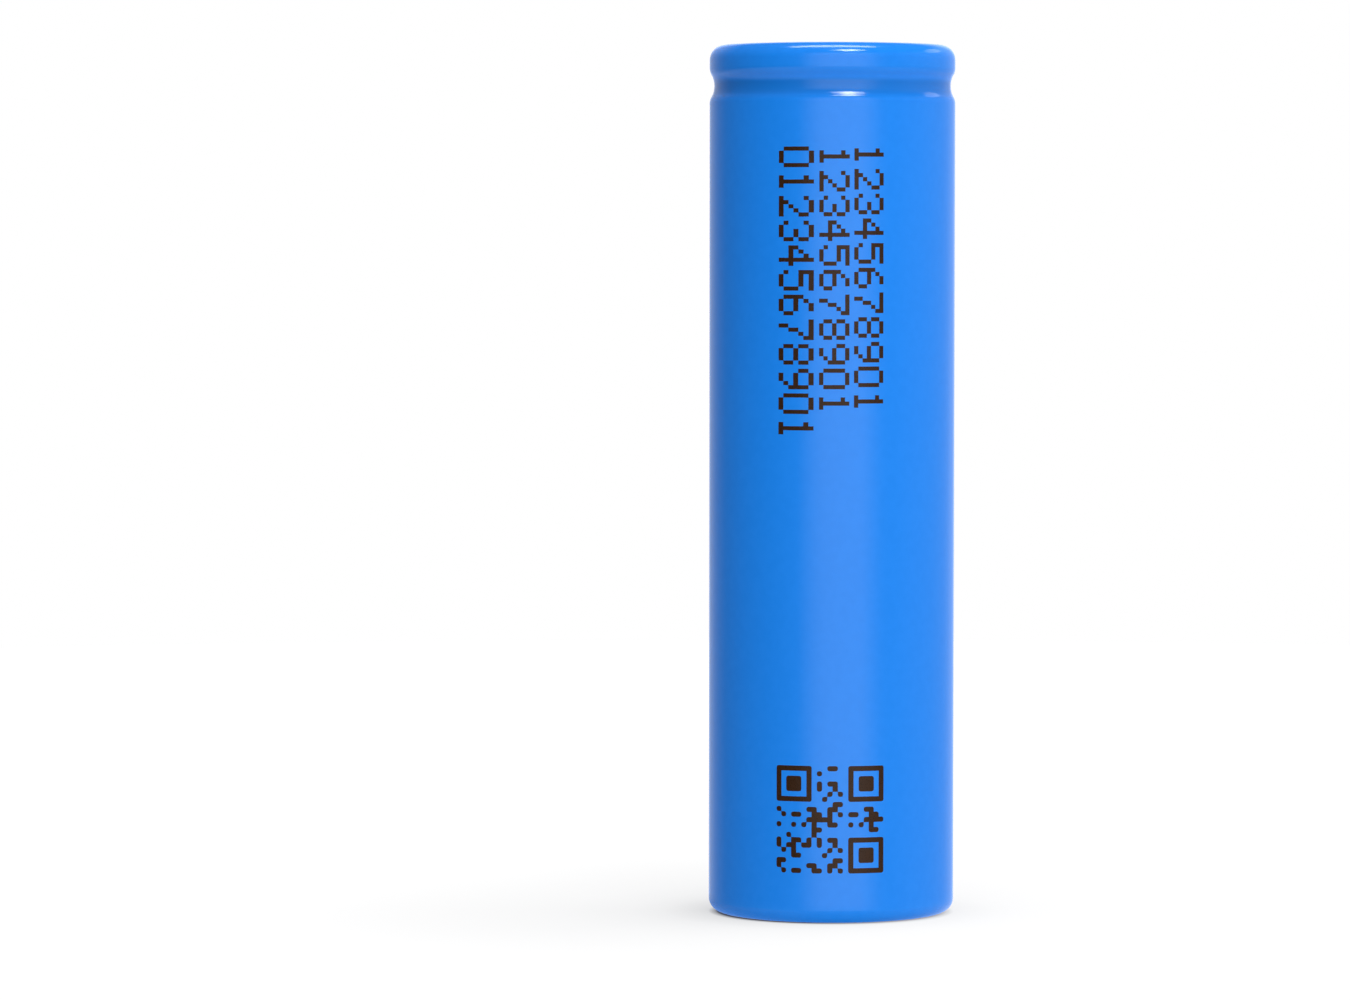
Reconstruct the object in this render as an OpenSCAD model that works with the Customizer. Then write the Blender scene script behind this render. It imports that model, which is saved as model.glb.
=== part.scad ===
// Cylindrical lithium iron phosphate cell with a flat positive cap.
// +Z points up, out of the positive cap. The origin is the centre of the foot.
// Every revolved piece is one outline built by side(), so that pieces which nest share their arcs.

/* [Case] */
// Height over all, from the foot of the film to the face of the positive cap
cell_len = 65; // [62:0.5:70]
// Outer diameter of the steel can
can_dia = 18.16; // [17.56:0.2:20.16]
// Thickness of the can's side wall and crimped lip
can_wall = 0.25; // [0.2:0.01:0.3]
// Thickness of the can's floor
can_floor_t = 0.3; // [0.25:0.05:0.5]
// Outer radius of the can's bottom edge
can_foot_r = 0.9; // [0.5:0.05:1]
// Outer radius of the shoulder where the can is crimped over
shoulder_r = 0.9; // [0.8:0.05:1.35]
// How far the crimped lip reaches in from the can's outside
lip_reach = 2.7; // [2.3:0.1:2.9]

/* [Bead] */
// Depth of the rolled groove under the closure
bead_depth = 1.4; // [1.35:0.05:1.6]
// Outer radius of the groove's upper edge, under the closure
bead_upper_r = 0.7; // [0.6:0.05:0.75]
// Outer radius of the groove's lower edge
bead_lower_r = 0.5; // [0.4:0.05:0.55]
// Radius of the groove's root, outside
bead_root_r = 0.6; // [0.5:0.05:0.65]

/* [Film] */
// Thickness of the shrunk film
film_t = 0.1; // [0.06:0.02:0.16]
// Width of the film folded over each end
film_fold = 2.1; // [1.7:0.1:2.6]
// How deep the film is drawn into the rolled groove
film_groove = 0.35; // [0.2:0.01:0.6]

/* [Top washer] */
// Thickness of the fibre washer on the crimped lip
washer_t = 0.2; // [0.1:0.02:0.3]
// Distance of the washer's edge from the can's outside
washer_inset = 0.7; // [0.5:0.05:0.85]
// Open ring between the cap's foot and the washer
washer_gap = 0.6; // [0.4:0.1:0.9]

/* [Positive cap] */
// How far the cap stands above the film
cap_proud = 0.06; // [0.02:0.02:0.3]
// Thickness of the cap's sheet
cap_t = 0.3; // [0.2:0.05:0.4]
// Diameter of the raised face, before its edge is rounded
cap_top_dia = 9; // [8.4:0.1:9.6]
// How far the raised face's wall leans out, from its edge to its foot
cap_lean = 0.1; // [0.05:0.05:0.3]
// Outer radius of the face's edge
cap_edge_r = 0.5; // [0.4:0.05:0.55]
// Radius in the foot, above the flange
cap_foot_r = 0.2; // [0.1:0.05:0.25]
// Number of vent windows
window_count = 3; // [2:1:5]
// Width of a vent window
window_w = 2.8; // [2:0.1:3.2]
// Corner radius of a vent window
window_r = 0.35; // [0.2:0.05:0.5]
// Depth of the bite that a window takes out of the raised face
window_bite = 0.45; // [0.3:0.05:0.8]
// Height of the wall left under a window
window_sill = 0.22; // [0.15:0.01:0.3]

/* [Gasket] */
// Thickness of the gasket's side wall
gasket_side_t = 0.5; // [0.4:0.05:0.7]
// Thickness of the gasket over the cap and under the vent disc
gasket_lip_t = 0.3; // [0.22:0.02:0.36]
// How far the upper lip reaches past the steel lip
gasket_cover = 0.45; // [0.2:0.05:0.6]
// How far the lower lip reaches in from the can's inside
gasket_foot_w = 1.9; // [1.6:0.1:2.2]

/* [Safety stack] */
// Thickness of the current limiting ring
ptc_t = 0.3; // [0.2:0.05:0.4]
// Width of the current limiting ring
ptc_w = 3.1; // [2.6:0.1:3.4]
// Thickness of the vent disc
vent_t = 0.3; // [0.2:0.02:0.36]
// Width of the vent disc's flat rim
vent_rim_w = 2.6; // [2.3:0.1:2.8]
// Width of the sloping step inside the rim
vent_step_w = 0.7; // [0.5:0.1:1]
// Diameter of the scored ring that tears open
score_dia = 6.6; // [5.6:0.2:7.6]
// Width of the score
score_w = 0.3; // [0.16:0.02:0.4]
// Depth of the score
score_depth = 0.14; // [0.08:0.02:0.16]
// Diameter of the dimple welded to the plate below, at its mouth
dimple_dia = 2.6; // [2:0.1:3.4]
// Diameter of the dimple's flat face
dimple_face_dia = 1.4; // [1:0.1:1.8]
// Bend radius of the vent disc, on its upper face
vent_bend_r = 0.42; // [0.38:0.02:0.5]
// Gap between the vent disc and the plate, away from the dimple
vent_gap = 0.15; // [0.1:0.01:0.2]
// Height of the insulating ring under the vent disc
spacer_h = 1; // [0.9:0.05:1.15]
// Width of the insulating ring
spacer_w = 0.9; // [0.7:0.05:1]
// Width of the ledge that carries the plate
ledge_w = 0.7; // [0.4:0.05:0.9]
// Thickness of the ledge
ledge_t = 0.2; // [0.16:0.02:0.24]
// Thickness of the interrupter plate
plate_t = 0.3; // [0.2:0.02:0.34]
// Number of gas holes in the plate
plate_holes = 6; // [3:1:8]
// Diameter of a gas hole
plate_hole_dia = 1.3; // [0.8:0.1:1.5]
// Diameter of the circle of gas holes
plate_circle_dia = 7.6; // [6.8:0.2:8.2]

/* [Electrodes] */
// Thickness of the coated cathode
cathode_t = 0.16; // [0.152:0.002:0.19]
// Thickness of the coated anode
anode_t = 0.13; // [0.126:0.002:0.16]
// Thickness of each separator
separator_t = 0.02; // [0.016:0.002:0.03]
// Clearance between wound layers
wind_gap = 0.005; // [0.004:0.001:0.008]
// Thickness of the cathode's aluminium foil
aluminium_foil_t = 0.016; // [0.012:0.002:0.02]
// Thickness of the anode's copper foil
copper_foil_t = 0.014; // [0.01:0.002:0.016]
// Angle swept by the bare foil that each tab is welded to
bare_angle = 150; // [120:5:170]
// How far the separators stand past the anode, each end
anode_margin = 1; // [0.6:0.1:1.6]
// How far the separators stand past the cathode, each end
cathode_margin = 1.75; // [1.7:0.05:2.4]
// Thickness of the tape round the finished roll
roll_tape_t = 0.05; // [0.03:0.01:0.08]
// How far the tape stops short of the separators' edges
roll_tape_margin = 3; // [1:0.5:6]
// Clearance between the roll and the can
roll_gap = 0.1; // [0.05:0.01:0.3]

/* [Centre pin] */
// Outer diameter of the rolled steel pin
pin_dia = 3; // [2.6:0.1:3.6]
// Thickness of the pin's wall
pin_wall = 0.25; // [0.2:0.05:0.35]
// Width of the slit along the pin
pin_slit = 0.5; // [0.3:0.05:0.8]
// Diameter of the pin's drawn-in ends
pin_nose_dia = 2.4; // [2:0.1:2.5]
// Length of each drawn-in end
pin_nose_len = 1.2; // [0.8:0.1:2]
// How far the pin stops below the top of the roll
pin_short = 1.5; // [1:0.5:4]
// Clearance between the pin and the roll
core_gap = 0.15; // [0.1:0.05:0.4]

/* [Tabs] */
// Thickness of the aluminium positive tab
positive_tab_t = 0.1; // [0.06:0.01:0.1]
// Width of the positive tab
positive_tab_w = 3; // [2.4:0.1:3.2]
// Length of the positive tab inside the roll
positive_tab_len = 22; // [15:1:35]
// How far the folded positive tab runs out from its root
fold_reach = 3.1; // [2.6:0.1:3.4]
// Inner radius of the tab's folds
fold_r = 0.15; // [0.12:0.01:0.18]
// Clearance between the folded tab and the insulator under it
fold_gap = 0.1; // [0.05:0.01:0.15]
// Thickness of the nickel negative tab
negative_tab_t = 0.08; // [0.06:0.01:0.08]
// Width of the negative tab
negative_tab_w = 4; // [3:0.5:5]
// Length of the negative tab inside the roll
negative_tab_len = 24; // [15:1:35]
// Inner radius of the negative tab's bend
tab_bend_r = 0.25; // [0.2:0.05:0.4]
// How far each tab runs past the middle of the cell
tab_past_centre = 1.5; // [1:0.1:2]
// Thickness of the tapes over the tabs
tab_tape_t = 0.025; // [0.02:0.001:0.026]
// How far a tab's tape reaches past the tab
tab_tape_lap = 0.6; // [0.4:0.1:0.8]

/* [Insulators] */
// Thickness of the insulator on top of the roll
top_insulator_t = 0.2; // [0.15:0.05:0.4]
// Diameter of its centre hole
top_insulator_bore = 6.4; // [5.6:0.2:7]
// Number of filling holes round the centre hole
fill_holes = 6; // [3:1:8]
// Diameter of a filling hole
fill_hole_dia = 1.4; // [1:0.1:2]
// Diameter of the circle of filling holes
fill_circle_dia = 11.6; // [10.4:0.2:13]
// Thickness of the insulator under the roll
bottom_insulator_t = 0.2; // [0.15:0.05:0.4]
// Diameter of the welding hole in the bottom insulator
bottom_insulator_bore = 2; // [1.4:0.1:2.2]

/* [Fits] */
// Clearance between pieces that seat on each other
fit = 0.02; // [0.01:0.005:0.03]

/* [Hidden] */
$fa = 4;
$fs = 0.2;
arc_step = 9;
half_turn = 180;
// Closest that two points of an outline may lie
point_gap = 0.0005;
// How far a cutting tool runs past the surface it cuts
overcut = 1;

// Radii, from the film inwards
can_r = can_dia / 2;
can_bore_r = can_r - can_wall;
film_r = can_r + fit + film_t;
film_open_r = film_r - film_fold;
lip_r = can_r - lip_reach;
gasket_lip_r = lip_r - gasket_cover;
gasket_foot_r = can_bore_r - gasket_foot_w;
stack_r = can_bore_r - fit - gasket_side_t - fit;
washer_r = can_r - washer_inset;
cap_foot_radius = cap_top_dia / 2 + cap_lean;
washer_bore_r = cap_foot_radius + washer_gap;

// Levels of the closure, from the film's top fold down to the bead that carries it
film_top = cell_len - cap_proud;
washer_z = film_top - film_t - fit - washer_t;
lip_z = washer_z - fit;
cap_flange_z = lip_z - can_wall - fit - gasket_lip_t - fit;
ptc_z = cap_flange_z - cap_t - fit;
vent_z = ptc_z - ptc_t - fit;
vent_under_z = vent_z - vent_t;
shelf_z = vent_under_z - fit - gasket_lip_t - fit;
bead_z = shelf_z - can_wall - bead_root_r;

// Levels of the interrupter, hung under the vent disc
spacer_z = vent_under_z - fit - spacer_h;
plate_z = spacer_z + ledge_t + fit;
plate_top = plate_z + plate_t;
spacer_r = gasket_foot_r - fit;
spacer_bore_r = spacer_r - spacer_w;

// The film's corner rounds the washer's edge and the steel shoulder together
film_corner_r = shoulder_r + fit + washer_t / 2 + film_t;
film_foot_r = can_foot_r + fit + film_t;

// Levels of the roll, between the can's floor and the bead's underside
can_foot_z = film_t + fit;
floor_z = can_foot_z + can_floor_t;
negative_tab_z = floor_z + fit + negative_tab_t;
bottom_insulator_z = negative_tab_z + fit;
roll_foot = bottom_insulator_z + bottom_insulator_t + fit;
top_insulator_z = bead_z - bead_root_r - can_wall - fit - top_insulator_t;
roll_top = top_insulator_z - fit;

// The winding line is a chain of half circles about two centres, a quarter pitch either side
pitch = cathode_t + anode_t + 2 * separator_t + 4 * wind_gap;
centre_shift = pitch / 4;
core_r = pin_dia / 2 + core_gap + centre_shift;
cathode_shift = separator_t + wind_gap;
second_separator_shift = cathode_shift + cathode_t + wind_gap;
anode_shift = second_separator_shift + separator_t + wind_gap;
roll_room = can_bore_r - roll_gap - roll_tape_t - wind_gap - centre_shift - core_r - pitch / 2;
half_turns = 2 * floor(roll_room / pitch);
cathode_lead = 2;
anode_tail = half_turns - 2;

// Inner faces of the two tabs, laid on the bare foil of their half turns
positive_tab_r = wound_r(cathode_lead, cathode_shift + aluminium_foil_t + wind_gap);
negative_tab_r = wound_r(anode_tail, anode_shift + copper_foil_t + wind_gap);

// Sector from which a tab of even width is cut, and how far its flat end laps into it
tab_sector = 150;
tab_lap = 0.7;
mid_turn = half_turn / 2;

// Unit vector at an angle, and the one a quarter turn to its left
function along(angle) = [cos(angle), sin(angle)];
function left(angle) = [-sin(angle), cos(angle)];

// Points of an arc, from one angle to another
function arc(centre, radius, from, to) =
    let (steps = max(1, ceil(abs(to - from) / arc_step)))
    [for (i = [0 : steps]) centre + radius * along(from + (to - from) * i / steps)];

// Direction from p to q, and the signed turn from one direction to another
function heading(p, q) = atan2(q[1] - p[1], q[0] - p[0]);
function wrap(angle) = angle > 180 ? angle - 360 : angle <= -180 ? angle + 360 : angle;

// One corner of a bent sheet, shifted to the left of the path
function corner(point, angle, bend, radius, shift) =
    let (hand = sign(bend))
    radius == 0 || bend == 0
        ? [point + shift * (left(angle) + left(angle + bend)) / (1 + cos(bend))]
        : arc(point - radius * tan(abs(bend) / 2) * along(angle) + hand * radius * left(angle),
              radius - hand * shift, angle - hand * 90, angle + bend - hand * 90);

function distinct(points) =
    [for (i = [0 : len(points) - 1])
        if (i == 0 || norm(points[i] - points[i - 1]) > point_gap) points[i]];

function reverse(points) = [for (i = [len(points) - 1 : -1 : 0]) points[i]];

// One side of a bent sheet: its corners rounded by radii, its line shifted to the left
function side(path, radii, shift = 0) =
    let (last = len(path) - 1)
    distinct([for (i = [0 : last])
        let (
            before = heading(path[max(i - 1, 0)], path[max(i, 1)]),
            after = heading(path[min(i, last - 1)], path[min(i + 1, last)])
        )
        each corner(path[i], before, wrap(after - before), radii[i], shift)]);

// Closed outline of a bent sheet of even thickness
function sheet(path, radii, thickness) =
    concat(side(path, radii), reverse(side(path, radii, thickness)));

// Radius of the winding line on half turn k, and the place of that half turn's centre
function wound_r(k, shift = 0) = core_r + k * pitch / 2 + shift;
function wound_x(k) = k % 2 == 0 ? -centre_shift : centre_shift;

// Outside of the can, from the crimped lip to the middle of the floor
function can_path(foot_z) = [
    [lip_r, lip_z],
    [can_r, lip_z],
    [can_r, bead_z + bead_root_r],
    [can_r - bead_depth, bead_z + bead_root_r],
    [can_r - bead_depth, bead_z - bead_root_r],
    [can_r, bead_z - bead_root_r],
    [can_r, foot_z],
    [0, foot_z]
];
can_radii = [0, shoulder_r, bead_upper_r, bead_root_r, bead_root_r, bead_lower_r, can_foot_r, 0];

module revolve(points) {
    rotate_extrude() polygon(points);
}

// Flat ring or disc between two radii
module ring(inner_r, outer_r, z, height) {
    revolve([[inner_r, z], [outer_r, z], [outer_r, z + height], [inner_r, z + height]]);
}

// Circle of holes through a flat piece
module hole_circle(count, hole_dia, circle_dia, z, height) {
    for (i = [0 : count - 1])
        rotate([0, 0, i * 360 / count])
            translate([circle_dia / 2, 0, z - overcut])
                cylinder(d = hole_dia, h = height + 2 * overcut);
}

// Upright wall on half turn k; it starts at one angle and sweeps on, or back where negative
module wound_wall(k, shift, thickness, z, height, from = 0, sweep = half_turn) {
    translate([wound_x(k), 0, 0])
        rotate([0, 0, k % 2 * half_turn + from])
            rotate_extrude(angle = sweep)
                translate([wound_r(k, shift), z]) square([thickness, height]);
}

// Ribbon wound over a run of half turns
module ribbon(first, last, shift, thickness, margin) {
    for (k = [first : last])
        wound_wall(k, shift, thickness, roll_foot + margin, roll_top - roll_foot - 2 * margin);
}

// Strip of even width, curved with half turn k where it lies in the roll
module wound_strip(k, points, width) {
    translate([wound_x(k), 0, 0])
        rotate([0, 0, k % 2 * half_turn + mid_turn])
            intersection() {
                rotate([0, 0, -tab_sector / 2])
                    rotate_extrude(angle = tab_sector) polygon(points);
                translate([0, -width / 2, 0]) cube([can_r, width, cell_len]);
            }
}

// Flat end of a tab, lapped into its curved strip and run a little past the middle of the cell
module tab_end(k, from_r, width, z, thickness) {
    translate([wound_x(k), 0, z])
        rotate([0, 0, k % 2 * half_turn + mid_turn])
            translate([-tab_past_centre, -width / 2, 0])
                cube([tab_past_centre + from_r + tab_lap, width, thickness]);
}

// Tape laid over a tab in its half turn
module tab_tape(k, shift, tab_w, z, height) {
    tape_angle = (tab_w + 2 * tab_tape_lap) / (2 * PI * wound_r(k, shift)) * 360;
    wound_wall(k, shift, tab_tape_t, z, height, mid_turn - tape_angle / 2, tape_angle);
}

// Shrunk film, drawn a little way into the groove and folded over both ends
module sleeve() {
    // Arcs over the groove's two edges
    upper_r = bead_upper_r + fit + film_t;
    lower_r = bead_lower_r + fit + film_t;
    groove_h = bead_upper_r + 2 * bead_root_r + bead_lower_r;
    // The root's arc touches both of them
    upper_h = groove_h / 2 + film_groove * (upper_r - lower_r) / groove_h;
    lower_h = groove_h - upper_h;
    root_r = (upper_h * upper_h + film_groove * film_groove) / (2 * film_groove) - upper_r;
    // Corners that these arcs round
    upper_slope = asin(upper_h / (root_r + upper_r));
    lower_slope = asin(lower_h / (root_r + lower_r));
    upper_z = bead_z + bead_root_r + bead_upper_r - upper_r * tan(upper_slope / 2);
    lower_z = bead_z - bead_root_r - bead_lower_r + lower_r * tan(lower_slope / 2);
    root_z = (upper_z * tan(upper_slope) + lower_z * tan(lower_slope))
        / (tan(upper_slope) + tan(lower_slope));
    color("#2488f4")
        revolve(sheet([
            [film_open_r, film_top],
            [film_r, film_top],
            [film_r, upper_z],
            [film_r - (upper_z - root_z) * tan(upper_slope), root_z],
            [film_r, lower_z],
            [film_r, 0],
            [film_open_r, 0]
        ], [0, film_corner_r, upper_r, root_r, lower_r, film_foot_r, 0], -film_t));
}

// Fibre washer, its rim formed down over the steel shoulder
module top_washer() {
    under_centre = [can_r - shoulder_r, lip_z - shoulder_r];
    under_r = shoulder_r + fit;
    over_centre = [film_r - film_corner_r, film_top - film_corner_r];
    over_r = film_corner_r - film_t - fit;
    color("#21253a")
        revolve(concat(
            [[washer_bore_r, washer_z]],
            arc(under_centre, under_r, 90, acos((washer_r - under_centre[0]) / under_r)),
            arc(over_centre, over_r, acos((washer_r - over_centre[0]) / over_r), 90),
            [[washer_bore_r, washer_z + washer_t]]
        ));
}

// Deep drawn can: flat floor, straight wall, rolled bead and crimped lip
module can() {
    inner_foot_z = can_foot_z + can_floor_t - can_wall;
    color("#c3c6c8")
        revolve(concat(
            side(can_path(can_foot_z), can_radii),
            reverse(side(can_path(inner_foot_z), can_radii, -can_wall))
        ));
}

// Window cut through the raised wall of the cap, open towards the washer
module vent_window() {
    inner_x = cap_top_dia / 2 - window_bite;
    outer_x = cap_foot_radius + cap_foot_r + overcut;
    round_y = window_w / 2 - window_r;
    translate([0, 0, cap_flange_z + window_sill])
        linear_extrude(cell_len - cap_flange_z)
            union() {
                translate([inner_x, -round_y]) square([outer_x - inner_x, 2 * round_y]);
                translate([inner_x + window_r, -window_w / 2])
                    square([outer_x - inner_x - window_r, window_w]);
                for (y = [-round_y, round_y])
                    translate([inner_x + window_r, y]) circle(window_r);
            }
}

// Pressed positive cap: raised face, windowed wall and clamped flange
module positive_cap() {
    color("#9b9c9c")
        difference() {
            revolve(sheet([
                [0, cell_len],
                [cap_top_dia / 2, cell_len],
                [cap_foot_radius, cap_flange_z],
                [stack_r, cap_flange_z]
            ], [0, cap_edge_r, cap_foot_r, 0], -cap_t));
            for (i = [0 : window_count - 1])
                rotate([0, 0, i * 360 / window_count]) vent_window();
        }
}

// Ring that limits the current when it warms
module ptc_ring() {
    color("#3f4245") ring(stack_r - ptc_w, stack_r, ptc_z - ptc_t, ptc_t);
}

// Vent disc: flat rim, sunk diaphragm with a score, and a dimple welded to the plate
module vent_disc() {
    rim_r = stack_r - vent_rim_w;
    diaphragm_z = plate_top + vent_gap + vent_t;
    dimple_z = plate_top + fit + vent_t;
    color("#c9cbcd")
        difference() {
            revolve(sheet([
                [stack_r, vent_z],
                [rim_r, vent_z],
                [rim_r - vent_step_w, diaphragm_z],
                [dimple_dia / 2, diaphragm_z],
                [dimple_face_dia / 2, dimple_z],
                [0, dimple_z]
            ], [0, vent_bend_r, vent_bend_r, vent_bend_r, vent_bend_r, 0], vent_t));
            ring((score_dia - score_w) / 2, (score_dia + score_w) / 2,
                 diaphragm_z - score_depth, overcut);
        }
}

// Moulded gasket, crimped round the edge of the clamped stack
module gasket() {
    color("#e9e6dc")
        revolve(concat(
            side([
                [gasket_lip_r, lip_z],
                [can_r, lip_z],
                [can_r, bead_z + bead_root_r],
                [gasket_foot_r, bead_z + bead_root_r]
            ], [0, shoulder_r, bead_upper_r, 0], -can_wall - fit),
            [
                [gasket_foot_r, vent_under_z - fit],
                [stack_r + fit, vent_under_z - fit],
                [stack_r + fit, cap_flange_z + fit],
                [gasket_lip_r, cap_flange_z + fit]
            ]
        ));
}

// Insulating ring whose ledge holds the plate under the vent disc
module cid_spacer() {
    ledge_r = spacer_bore_r - ledge_w;
    spacer_top = spacer_z + spacer_h;
    color("#dcdcd2")
        revolve([
            [ledge_r, spacer_z],
            [spacer_r, spacer_z],
            [spacer_r, spacer_top],
            [spacer_bore_r, spacer_top],
            [spacer_bore_r, spacer_z + ledge_t],
            [ledge_r, spacer_z + ledge_t]
        ]);
}

// Perforated plate that parts from the vent disc under pressure
module cid_plate() {
    color("#b9bcbf")
        difference() {
            ring(0, spacer_bore_r - fit, plate_z, plate_t);
            hole_circle(plate_holes, plate_hole_dia, plate_circle_dia, plate_z, plate_t);
        }
}

// Aluminium tab: up from the cathode, out and back in a fold, then welded under the plate
module positive_tab() {
    low_fold_z = top_insulator_z + top_insulator_t + fold_gap + positive_tab_t;
    high_fold_z = low_fold_z + 2 * fold_r;
    weld_z = plate_z - fit - positive_tab_t;
    fold_end_r = positive_tab_r + fold_reach;
    ramp_r = (positive_tab_r + fold_end_r) / 2;
    rise = weld_z - high_fold_z;
    join_r = positive_tab_r;
    outer_fold_r = fold_r + positive_tab_t;
    color("#d4d6d8")
        union() {
            wound_strip(cathode_lead, sheet([
                [positive_tab_r, roll_top - positive_tab_len],
                [positive_tab_r, low_fold_z],
                [fold_end_r, low_fold_z],
                [fold_end_r, high_fold_z],
                [ramp_r + rise, high_fold_z],
                [ramp_r, weld_z],
                [join_r, weld_z]
            ], [0, outer_fold_r, fold_r, fold_r, outer_fold_r, outer_fold_r, 0],
                -positive_tab_t), positive_tab_w);
            tab_end(cathode_lead, join_r, positive_tab_w, weld_z, positive_tab_t);
        }
}

// Insulating tape over the positive tab's weld
module positive_tab_tape() {
    tape_shift = cathode_shift + aluminium_foil_t + positive_tab_t + 2 * wind_gap;
    tape_z = roll_top - positive_tab_len - tab_tape_lap;
    color("#d9a441")
        tab_tape(cathode_lead, tape_shift, positive_tab_w, tape_z, roll_top - tape_z);
}

// Disc that keeps the folded tab off the edge of the roll
module top_insulator() {
    color("#e4e2da")
        difference() {
            ring(top_insulator_bore / 2, can_r - bead_lower_r, top_insulator_z, top_insulator_t);
            hole_circle(fill_holes, fill_hole_dia, fill_circle_dia, top_insulator_z, top_insulator_t);
        }
}

// Coated aluminium ribbon, with bare foil where it starts
module cathode() {
    foil_z = roll_foot + cathode_margin;
    color("#2b2c2e")
        union() {
            ribbon(cathode_lead + 1, anode_tail - 2, cathode_shift, cathode_t, cathode_margin);
            wound_wall(cathode_lead, cathode_shift, aluminium_foil_t, foil_z,
                       roll_top - cathode_margin - foil_z, half_turn, -bare_angle);
        }
}

// Coated copper ribbon, with bare foil where it ends
module anode() {
    foil_z = roll_foot + anode_margin;
    color("#8a5a3c")
        union() {
            ribbon(1, anode_tail - 1, anode_shift, anode_t, anode_margin);
            wound_wall(anode_tail, anode_shift, copper_foil_t, foil_z,
                       roll_top - anode_margin - foil_z, 0, bare_angle);
        }
}

// Separator inside the cathode
module separator_inner() {
    color("#f4f4f0") ribbon(0, half_turns - 1, 0, separator_t, 0);
}

// Separator between the cathode and the anode
module separator_outer() {
    color("#ececE6") ribbon(0, half_turns - 1, second_separator_shift, separator_t, 0);
}

// Tape that holds the outer turn closed
module roll_tape() {
    color("#4f9e6b") ribbon(half_turns, half_turns + 1, wind_gap, roll_tape_t, roll_tape_margin);
}

// Rolled pin that keeps the core of the roll open for gas
module centre_pin() {
    pin_r = pin_dia / 2;
    nose_r = pin_nose_dia / 2;
    pin_top = roll_top - pin_short;
    color("#aeb1b3")
        difference() {
            revolve(sheet([
                [nose_r, roll_foot],
                [pin_r, roll_foot + pin_nose_len],
                [pin_r, pin_top - pin_nose_len],
                [nose_r, pin_top]
            ], [0, 0, 0, 0], pin_wall));
            translate([0, -pin_slit / 2, roll_foot - overcut])
                cube([pin_dia, pin_slit, pin_top - roll_foot + 2 * overcut]);
        }
}

// Nickel tab: down from the anode, under the roll and welded to the middle of the floor
module negative_tab() {
    join_r = negative_tab_r / 2;
    color("#b7b09c")
        union() {
            wound_strip(anode_tail, sheet([
                [negative_tab_r, roll_foot + negative_tab_len],
                [negative_tab_r, negative_tab_z],
                [join_r, negative_tab_z]
            ], [0, tab_bend_r, 0], negative_tab_t), negative_tab_w);
            tab_end(anode_tail, join_r, negative_tab_w, negative_tab_z - negative_tab_t,
                    negative_tab_t);
        }
}

// Insulating tape over the negative tab's weld
module negative_tab_tape() {
    tape_shift = anode_shift + copper_foil_t + negative_tab_t + 2 * wind_gap;
    color("#d9a441")
        tab_tape(anode_tail, tape_shift, negative_tab_w, roll_foot,
                 negative_tab_len + tab_tape_lap);
}

// Disc between the roll and the folded negative tab
module bottom_insulator() {
    color("#e4e2da")
        ring(bottom_insulator_bore / 2, negative_tab_r - tab_bend_r - fit,
             bottom_insulator_z, bottom_insulator_t);
}

sleeve();
top_washer();
can();
positive_cap();
ptc_ring();
vent_disc();
gasket();
cid_spacer();
cid_plate();
positive_tab();
positive_tab_tape();
top_insulator();
cathode();
anode();
separator_inner();
separator_outer();
roll_tape();
centre_pin();
negative_tab();
negative_tab_tape();
bottom_insulator();
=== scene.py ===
"""Looks of a cylindrical lithium iron phosphate cell, dressed over its CAD frame.

The film, its print, the washer and the positive cap are new pieces. Every other node keeps its
CAD shape and gets a finish of its own. The cell's sizes are in millimetres until a mesh is
made, and the studio's are in metres.
"""
import logging
import math
from dataclasses import dataclass, field
from enum import Enum

import bmesh
import bpy
from mathutils import Euler, Matrix, Vector


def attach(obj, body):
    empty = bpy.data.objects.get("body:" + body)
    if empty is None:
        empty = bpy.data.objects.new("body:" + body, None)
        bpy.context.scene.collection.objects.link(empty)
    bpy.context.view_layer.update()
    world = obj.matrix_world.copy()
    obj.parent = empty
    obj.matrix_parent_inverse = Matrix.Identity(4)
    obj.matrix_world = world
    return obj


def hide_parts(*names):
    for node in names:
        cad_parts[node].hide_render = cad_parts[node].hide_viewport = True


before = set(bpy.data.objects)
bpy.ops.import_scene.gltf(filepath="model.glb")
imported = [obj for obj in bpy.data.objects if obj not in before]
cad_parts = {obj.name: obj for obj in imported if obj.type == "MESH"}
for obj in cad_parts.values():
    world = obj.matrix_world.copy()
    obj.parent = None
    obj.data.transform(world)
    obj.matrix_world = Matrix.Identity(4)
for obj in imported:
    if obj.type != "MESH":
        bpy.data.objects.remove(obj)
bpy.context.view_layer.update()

log = logging.getLogger("cell")

MM = 0.001
SPIN_STEPS = 256
ARC_SEGMENTS = 8
DOT_SEGMENTS = 2
GRID_HALF = 0.5
BEVEL_REACH = 0.998  # just short of whole, so that roundings that meet stay apart
CREASE = math.radians(35)
MERGE = 1e-6
PATTERN_SCALE = 1000.0
WHITE = (1.0, 1.0, 1.0, 1.0)
IMAGE_WIDTH = 1350
SENSOR_WIDTH = 36.0

Piece = bpy.types.Object
Tree = bpy.types.NodeTree
Socket = bpy.types.NodeSocket
Colour = tuple[float, float, float, float]
Stops = tuple[tuple[float, float], ...]


def shade(code: str) -> Colour:
    """Turns a hex colour into the linear colour that a shader takes.

    Args:
        code: Six hex digits, as sRGB.

    Returns:
        Red, green, blue and alpha, linear.
    """
    parts = [int(code[i:i + 2], 16) / 255 for i in (0, 2, 4)]
    linear = [c / 12.92 if c <= 0.04045 else ((c + 0.055) / 1.055) ** 2.4 for c in parts]
    return (*linear, 1.0)


# ---------------------------------------------------------------- outlines and meshes


@dataclass(frozen=True)
class Corner:
    """Corner of an outline: its distance from the axis, its height and its rounding."""

    r: float
    z: float
    bend: float = 0.0


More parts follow.
